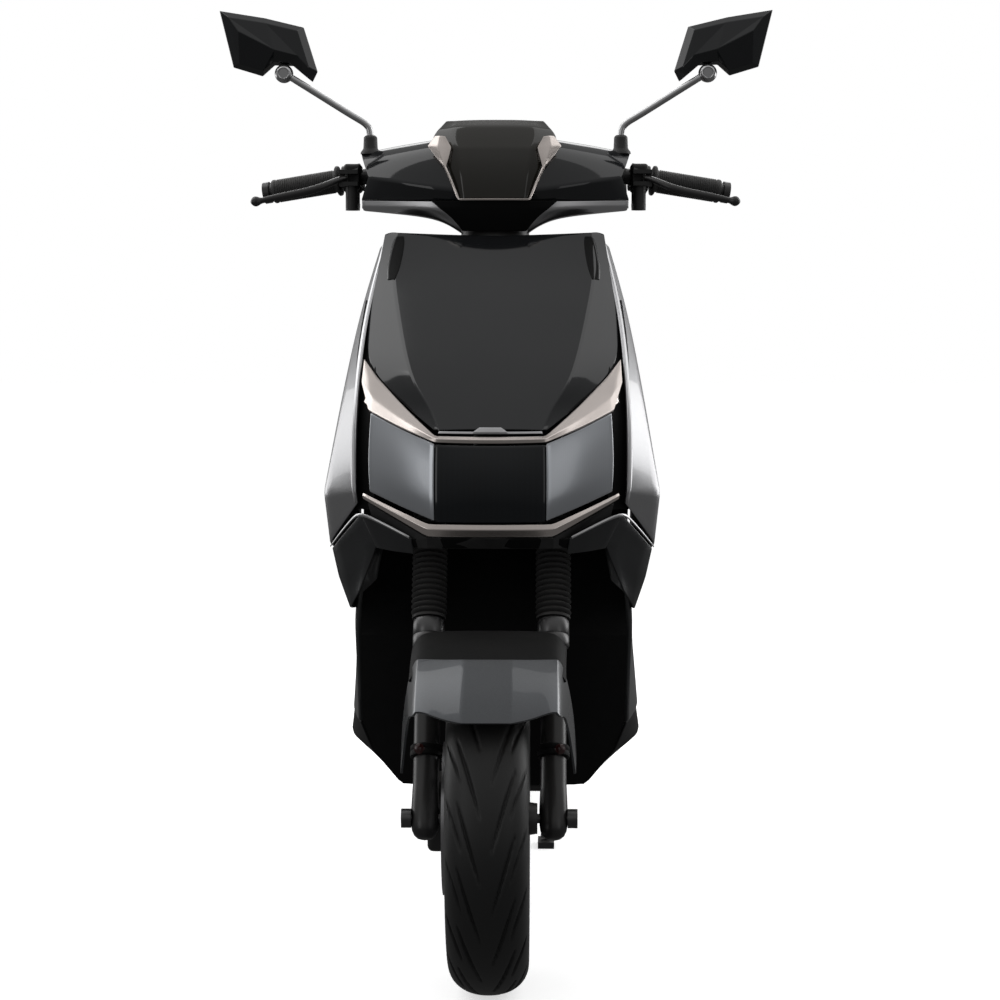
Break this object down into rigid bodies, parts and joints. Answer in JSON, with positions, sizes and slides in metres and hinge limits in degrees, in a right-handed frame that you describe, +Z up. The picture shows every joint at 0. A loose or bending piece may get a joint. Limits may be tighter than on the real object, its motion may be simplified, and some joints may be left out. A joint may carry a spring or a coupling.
{
  "type": "moped scooter",
  "caption": "Electric moped scooter with a faceted front, wing-shaped headlamp, leg shield, flat floor, lift-up seat, telescopic fork, hub motor, mirrors and stands.",
  "frame": {"origin": "on the ground, midway along the length and the width", "axes": "+Z up, the front faces -Y, +X is the rider's left"},
  "size_m": [0.768, 1.8099, 1.264],
  "materials": {
    "frame": "satin black",
    "bolts": "zinc",
    "gloss_black": "piano black",
    "champagne": "satin champagne",
    "silver_strip": "satin",
    "lamp_lens": "smoked, clear gloss",
    "lamp_wings": "translucent grey, lined",
    "dark_plastic": "fine grain",
    "silver_paint": "metallic silver",
    "dark_grey": "satin dark grey",
    "floor_rubber": "ribbed",
    "battery_case": "satin",
    "seat_cover": "grained synthetic leather",
    "rail_black": "satin black",
    "red_lens": "clear red",
    "tyre": "rubber",
    "motor_shell": "black powder coat",
    "shock_steel": "polished",
    "spring_red": "gloss red",
    "gaiter_rubber": "matt",
    "caliper": "black anodised",
    "gunmetal": "metallic gunmetal",
    "rim_black": "black powder coat",
    "disc_steel": "ground",
    "visor_smoke": "smoked brown gloss",
    "display_glass": "clear gloss",
    "grip_rubber": "ribbed",
    "lever_black": "satin black",
    "mirror_stem": "polished",
    "mirror_shell": "gloss black",
    "button": "red",
    "switch_grey": "matt grey",
    "key_steel": "nickel"
  },
  "bodies": {
    "chassis": {"frame": "frame", "chassis_bolts": "bolts", "front_panel": "gloss_black", "upper_trim": "champagne", "nose_strip": "silver_strip", "headlight_lens": "lamp_lens", "headlight_wings": "lamp_wings", "headlight_housing": "dark_plastic", "lower_trim": "champagne", "side_panels": "silver_paint", "side_cheeks": "dark_grey", "wheel_liner": "dark_plastic", "belly_pan": "dark_plastic", "leg_shield": "dark_plastic", "floorboard": "floor_rubber", "battery": "battery_case", "storage_bucket": "dark_plastic", "rear_body_panels": "silver_paint", "grab_rail": "rail_black", "rear_lights": "red_lens", "rear_mudguard": "dark_plastic", "shock_tubes": "shock_steel", "shock_springs": "spring_red"},
    "steering": {"fork_yoke": "frame", "stanchions": "shock_steel", "fork_gaiters": "gaiter_rubber", "handlebar": "frame", "switch_housings": "dark_plastic", "headset_cover": "gloss_black", "headset_shell": "dark_plastic", "visor": "visor_smoke", "visor_trim": "champagne", "display": "display_glass", "mirror_stems": "mirror_stem", "grip_left": "grip_rubber"},
    "fork_lower": {"fork_legs": "frame", "front_axle": "bolts", "brake_caliper": "caliper", "front_mudguard": "gunmetal", "mudguard_liner": "dark_plastic"},
    "front_wheel": {"front_tyre": "tyre", "front_rim": "rim_black", "brake_disc": "disc_steel"},
    "throttle": {"throttle_grip": "grip_rubber"},
    "left_lever": {"lever_left": "lever_black"},
    "right_lever": {"lever_right": "lever_black"},
    "left_mirror": {"mirror_left": "mirror_shell"},
    "right_mirror": {"mirror_right": "mirror_shell"},
    "horn": {"horn_button": "button"},
    "indicator": {"indicator_switch": "switch_grey"},
    "rear_arm": {"swingarm": "frame", "rear_axle": "bolts"},
    "rear_wheel": {"rear_tyre": "tyre", "hub_motor": "motor_shell"},
    "shock_lowers": {"shock_rods": "shock_steel"},
    "main_stand": {"centre_stand": "frame"},
    "prop_stand": {"side_stand": "frame"},
    "seat": {"seat_base": "dark_plastic", "seat_cushion": "seat_cover"},
    "key": {"ignition_key": "key_steel"}
  },
  "joints": [
    {"name": "steering_turn", "type": "hinge", "parent": "chassis", "child": "steering", "pos_m": [0, -0.41345, 0.7], "axis": [0, 0.4384, 0.8988], "range_deg": [-40, 40]},
    {"name": "fork_slide", "type": "slide", "parent": "steering", "child": "fork_lower", "axis": [0, 0.4384, 0.8988], "range_m": [0, 0.06], "stiffness_N_per_m": 9000, "springref_m": -0.045, "deforming": ["fork_gaiters"]},
    {"name": "front_wheel_spin", "type": "hinge", "parent": "fork_lower", "child": "front_wheel", "pos_m": [0, -0.688, 0.217], "axis": [1, 0, 0], "continuous": true},
    {"name": "throttle_twist", "type": "hinge", "parent": "steering", "child": "throttle", "pos_m": [-0.265, -0.22423, 1.02523], "axis": [-0.9772, 0.1503, -0.1503], "range_deg": [0, 75], "stiffness_Nm_per_rad": 0.3, "springref_deg": -17.19},
    {"name": "left_lever_pull", "type": "hinge", "parent": "steering", "child": "left_lever", "pos_m": [0.206, -0.272, 1.034], "axis": [0, 0, 1], "range_deg": [0, 16], "stiffness_Nm_per_rad": 3, "springref_deg": -11.46},
    {"name": "right_lever_pull", "type": "hinge", "parent": "steering", "child": "right_lever", "pos_m": [-0.206, -0.272, 1.034], "axis": [0, 0, -1], "range_deg": [0, 16], "stiffness_Nm_per_rad": 3, "springref_deg": -11.46},
    {"name": "left_mirror_tilt", "type": "hinge", "parent": "steering", "child": "left_mirror", "pos_m": [0.288, -0.262, 1.158], "axis": [1, 0, 0], "range_deg": [-12, 12]},
    {"name": "right_mirror_tilt", "type": "hinge", "parent": "steering", "child": "right_mirror", "pos_m": [-0.288, -0.262, 1.158], "axis": [1, 0, 0], "range_deg": [-12, 12]},
    {"name": "horn_press", "type": "slide", "parent": "steering", "child": "horn", "axis": [0, -1, 0], "range_m": [0, 0.003], "stiffness_N_per_m": 500, "springref_m": -0.002},
    {"name": "indicator_slide", "type": "slide", "parent": "steering", "child": "indicator", "axis": [1, 0, 0], "range_m": [-0.003, 0.003]},
    {"name": "rear_arm_swing", "type": "hinge", "parent": "chassis", "child": "rear_arm", "pos_m": [0, 0.27, 0.232], "axis": [1, 0, 0], "range_deg": [0, 9], "stiffness_Nm_per_rad": 1200, "springref_deg": -17.19},
    {"name": "rear_wheel_spin", "type": "hinge", "parent": "rear_arm", "child": "rear_wheel", "pos_m": [0, 0.622, 0.217], "axis": [1, 0, 0], "continuous": true},
    {"name": "shock_stroke", "type": "slide", "parent": "chassis", "child": "shock_lowers", "axis": [0, -0.105, 0.9945], "range_m": [0, 0.0486], "deforming": ["shock_springs"]},
    {"name": "centre_stand_fold", "type": "hinge", "parent": "chassis", "child": "main_stand", "pos_m": [0, 0.215, 0.152], "axis": [1, 0, 0], "range_deg": [0, 82]},
    {"name": "side_stand_swing", "type": "hinge", "parent": "chassis", "child": "prop_stand", "pos_m": [0.139, 0.15, 0.21], "axis": [-1, 0, 0], "range_deg": [0, 92]},
    {"name": "seat_lift", "type": "hinge", "parent": "chassis", "child": "seat", "pos_m": [0, 0.052, 0.704], "axis": [1, 0, 0], "range_deg": [0, 70]},
    {"name": "key_turn", "type": "hinge", "parent": "chassis", "child": "key", "pos_m": [-0.072, -0.23, 0.8], "axis": [0, 1, 0], "range_deg": [0, 90]}
  ],
  "couplings": [
    {"joint": "shock_stroke", "follows": "rear_arm_swing", "m_per_rad": 0.30812}
  ]
}
